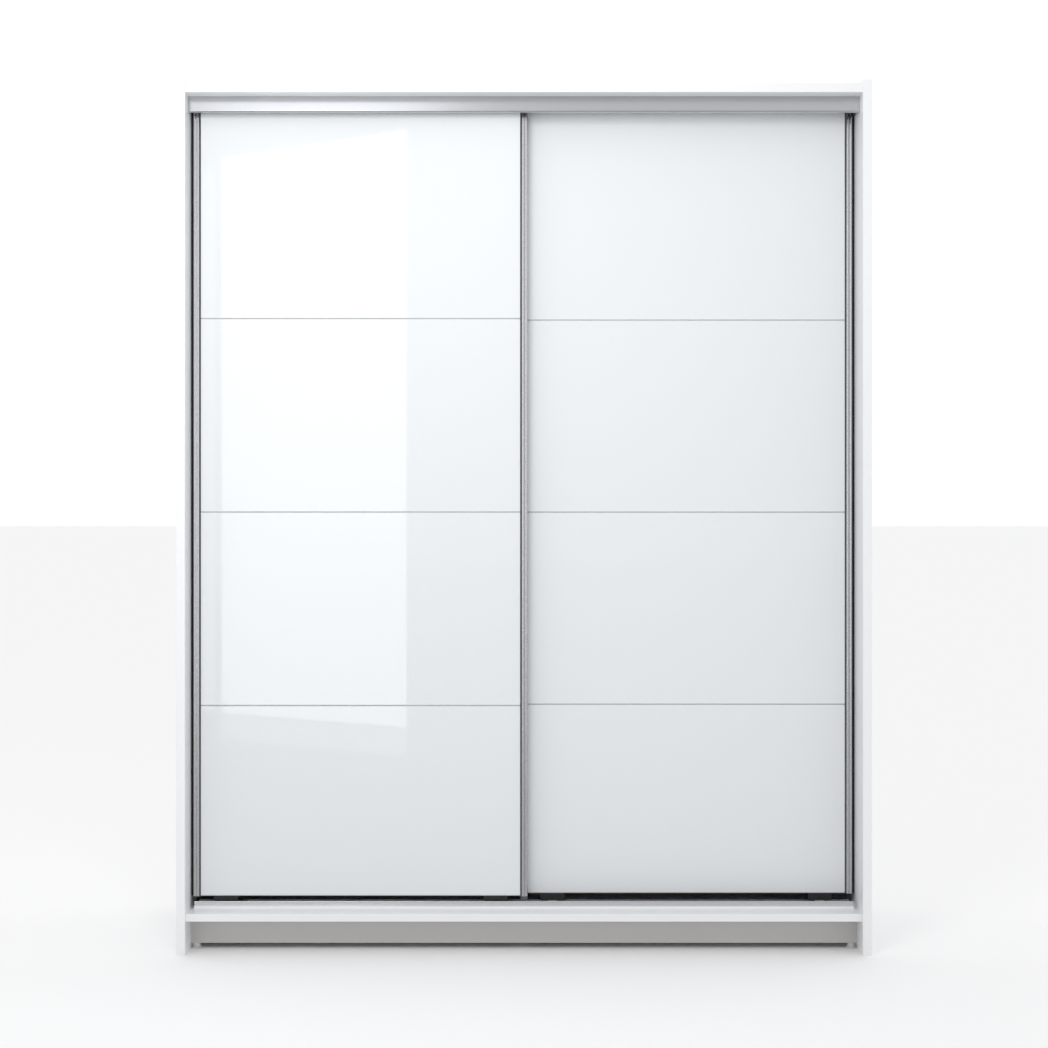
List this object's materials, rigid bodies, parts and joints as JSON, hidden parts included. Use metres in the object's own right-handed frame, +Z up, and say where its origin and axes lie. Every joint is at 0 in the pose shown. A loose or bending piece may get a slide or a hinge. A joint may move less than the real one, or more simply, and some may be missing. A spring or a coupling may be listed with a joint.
{
  "type": "sliding door wardrobe",
  "caption": "Tall white wardrobe with glass-fronted sliding doors on a two-lane track; hanging space on one side of a partition and shelves on the other.",
  "frame": {"origin": "on the floor, at the middle of the footprint", "axes": "+X to the right seen from the front, +Y towards the back, +Z up; the doors face -Y"},
  "size_m": [1.7, 0.6, 2.14],
  "materials": {
    "white_board": "satin white melamine on chipboard",
    "white_hardboard": "white lacquered hardboard",
    "plinth_board": "satin light grey melamine",
    "white_glass": "gloss glass, painted white on its back",
    "anodised_aluminium": "satin silver anodised",
    "zinc_steel": "bright zinc plated",
    "black_steel": "black oxide on steel",
    "chromed_tube": "polished chrome plate",
    "white_nylon": "moulded nylon",
    "black_nylon": "moulded nylon",
    "glide_plastic": "moulded light grey plastic",
    "grey_rubber": "matt dark grey",
    "black_pile": "black brush pile"
  },
  "bodies": {
    "carcass": {"side_panel_left": "white_board", "side_panel_right": "white_board", "top_panel": "white_board", "bottom_panel": "white_board", "centre_partition": "white_board", "back_panel_left": "white_hardboard", "back_panel_right": "white_hardboard", "plinth_front": "plinth_board", "plinth_rear": "plinth_board", "plinth_brace": "plinth_board", "floor_glides": "glide_plastic", "top_track": "anodised_aluminium", "track_fascia": "anodised_aluminium", "bottom_track": "anodised_aluminium", "door_stops": "grey_rubber", "hat_shelf": "white_board", "shelf_lower": "white_board", "shelf_middle": "white_board", "shelf_upper": "white_board", "shelf_pins": "zinc_steel", "hanging_rail": "chromed_tube", "rail_brackets": "zinc_steel", "wall_brackets": "zinc_steel", "cam_fittings": "zinc_steel", "panel_screws": "zinc_steel", "back_panel_nails": "zinc_steel"},
    "door_left": {"door_left_outer_stile": "anodised_aluminium", "door_left_inner_stile": "anodised_aluminium", "door_left_top_rail": "anodised_aluminium", "door_left_bottom_rail": "anodised_aluminium", "door_left_backing_board": "white_board", "door_left_glass_1": "white_glass", "door_left_glass_2": "white_glass", "door_left_glass_3": "white_glass", "door_left_glass_4": "white_glass", "door_left_gaskets": "grey_rubber", "door_left_brush_seals": "black_pile", "door_left_top_guides": "black_nylon", "door_left_roller_housings": "black_nylon", "door_left_roller_axles": "black_steel", "door_left_frame_screws": "zinc_steel"},
    "door_left_outer_wheel": {"door_left_outer_wheel": "white_nylon"},
    "door_left_inner_wheel": {"door_left_inner_wheel": "white_nylon"},
    "door_right": {"door_right_outer_stile": "anodised_aluminium", "door_right_inner_stile": "anodised_aluminium", "door_right_top_rail": "anodised_aluminium", "door_right_bottom_rail": "anodised_aluminium", "door_right_backing_board": "white_board", "door_right_glass_1": "white_glass", "door_right_glass_2": "white_glass", "door_right_glass_3": "white_glass", "door_right_glass_4": "white_glass", "door_right_gaskets": "grey_rubber", "door_right_brush_seals": "black_pile", "door_right_top_guides": "black_nylon", "door_right_roller_housings": "black_nylon", "door_right_roller_axles": "black_steel", "door_right_frame_screws": "zinc_steel"},
    "door_right_outer_wheel": {"door_right_outer_wheel": "white_nylon"},
    "door_right_inner_wheel": {"door_right_inner_wheel": "white_nylon"}
  },
  "joints": [
    {"name": "door_left_slide", "type": "slide", "parent": "carcass", "child": "door_left", "axis": [1, 0, 0], "range_m": [0, 0.812]},
    {"name": "door_right_slide", "type": "slide", "parent": "carcass", "child": "door_right", "axis": [-1, 0, 0], "range_m": [0, 0.812]},
    {"name": "door_left_outer_wheel_spin", "type": "hinge", "parent": "door_left", "child": "door_left_outer_wheel", "pos_m": [-0.741, -0.2105, 0.1173], "axis": [0, 1, 0], "continuous": true},
    {"name": "door_left_inner_wheel_spin", "type": "hinge", "parent": "door_left", "child": "door_left_inner_wheel", "pos_m": [-0.071, -0.2105, 0.1173], "axis": [0, 1, 0], "continuous": true},
    {"name": "door_right_outer_wheel_spin", "type": "hinge", "parent": "door_right", "child": "door_right_outer_wheel", "pos_m": [0.741, -0.1765, 0.1173], "axis": [0, 1, 0], "continuous": true},
    {"name": "door_right_inner_wheel_spin", "type": "hinge", "parent": "door_right", "child": "door_right_inner_wheel", "pos_m": [0.071, -0.1765, 0.1173], "axis": [0, 1, 0], "continuous": true}
  ],
  "couplings": [
    {"joint": "door_left_outer_wheel_spin", "follows": "door_left_slide", "rad_per_m": 83.333},
    {"joint": "door_left_inner_wheel_spin", "follows": "door_left_slide", "rad_per_m": 83.333},
    {"joint": "door_right_outer_wheel_spin", "follows": "door_right_slide", "rad_per_m": -83.333},
    {"joint": "door_right_inner_wheel_spin", "follows": "door_right_slide", "rad_per_m": -83.333}
  ]
}
